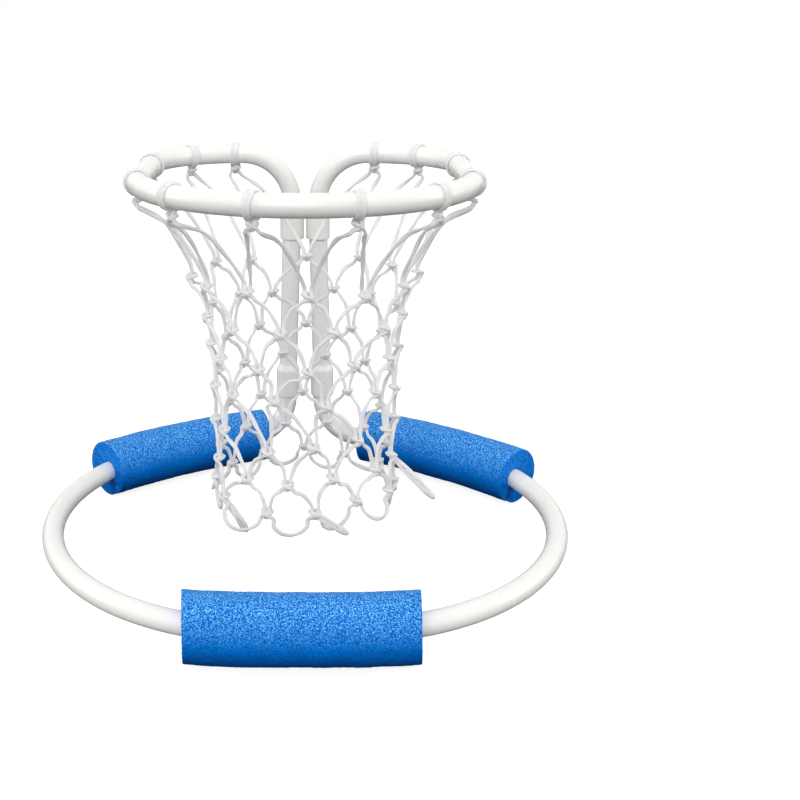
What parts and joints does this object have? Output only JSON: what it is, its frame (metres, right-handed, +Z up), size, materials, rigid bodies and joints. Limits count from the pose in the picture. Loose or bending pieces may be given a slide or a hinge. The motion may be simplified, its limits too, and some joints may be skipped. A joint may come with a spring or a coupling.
{
  "type": "poolside basketball hoop",
  "caption": "White tube rim with a knotted hanging net on plug-in posts, standing over a tube ring that carries blue foam floats.",
  "frame": {"origin": "middle of the footprint, on the floor", "axes": "+Z up, -Y towards the front float, +X to the right seen from the front"},
  "size_m": [0.538, 0.525, 0.3935],
  "materials": {
    "white_tube": "satin",
    "blue_foam": "matte",
    "net_cord": "matte"
  },
  "bodies": {
    "base": {"base_left_tube": "white_tube", "base_right_tube": "white_tube", "front_float": "blue_foam"},
    "left_float": {"left_float": "blue_foam"},
    "right_float": {"right_float": "blue_foam"},
    "left_post": {"left_post": "white_tube"},
    "right_post": {"right_post": "white_tube"},
    "rim": {"rim_tube": "white_tube", "net_panel_01": "net_cord", "net_panel_02": "net_cord", "net_panel_03": "net_cord", "net_panel_04": "net_cord", "net_panel_05": "net_cord", "net_panel_06": "net_cord", "net_panel_07": "net_cord", "net_panel_08": "net_cord", "net_panel_09": "net_cord", "net_panel_10": "net_cord", "net_panel_11": "net_cord", "net_panel_12": "net_cord"}
  },
  "joints": [
    {"name": "left_post_lift", "type": "slide", "parent": "base", "child": "left_post", "axis": [0, 0, 1], "range_m": [0, 0.045]},
    {"name": "right_post_lift", "type": "slide", "parent": "base", "child": "right_post", "axis": [0, 0, 1], "range_m": [0, 0.045]},
    {"name": "rim_lift", "type": "slide", "parent": "left_post", "child": "rim", "axis": [0, 0, 1], "range_m": [0, 0.06]},
    {"name": "left_float_slide", "type": "hinge", "parent": "base", "child": "left_float", "pos_m": [-0.02755, -0.00314, 0.032], "axis": [0, 0, 1], "range_deg": [0, 96]},
    {"name": "right_float_slide", "type": "hinge", "parent": "base", "child": "right_float", "pos_m": [0.02755, -0.00314, 0.032], "axis": [0, 0, -1], "range_deg": [0, 92]}
  ],
  "couplings": [
    {"joint": "right_post_lift", "follows": "left_post_lift", "ratio": 1}
  ]
}
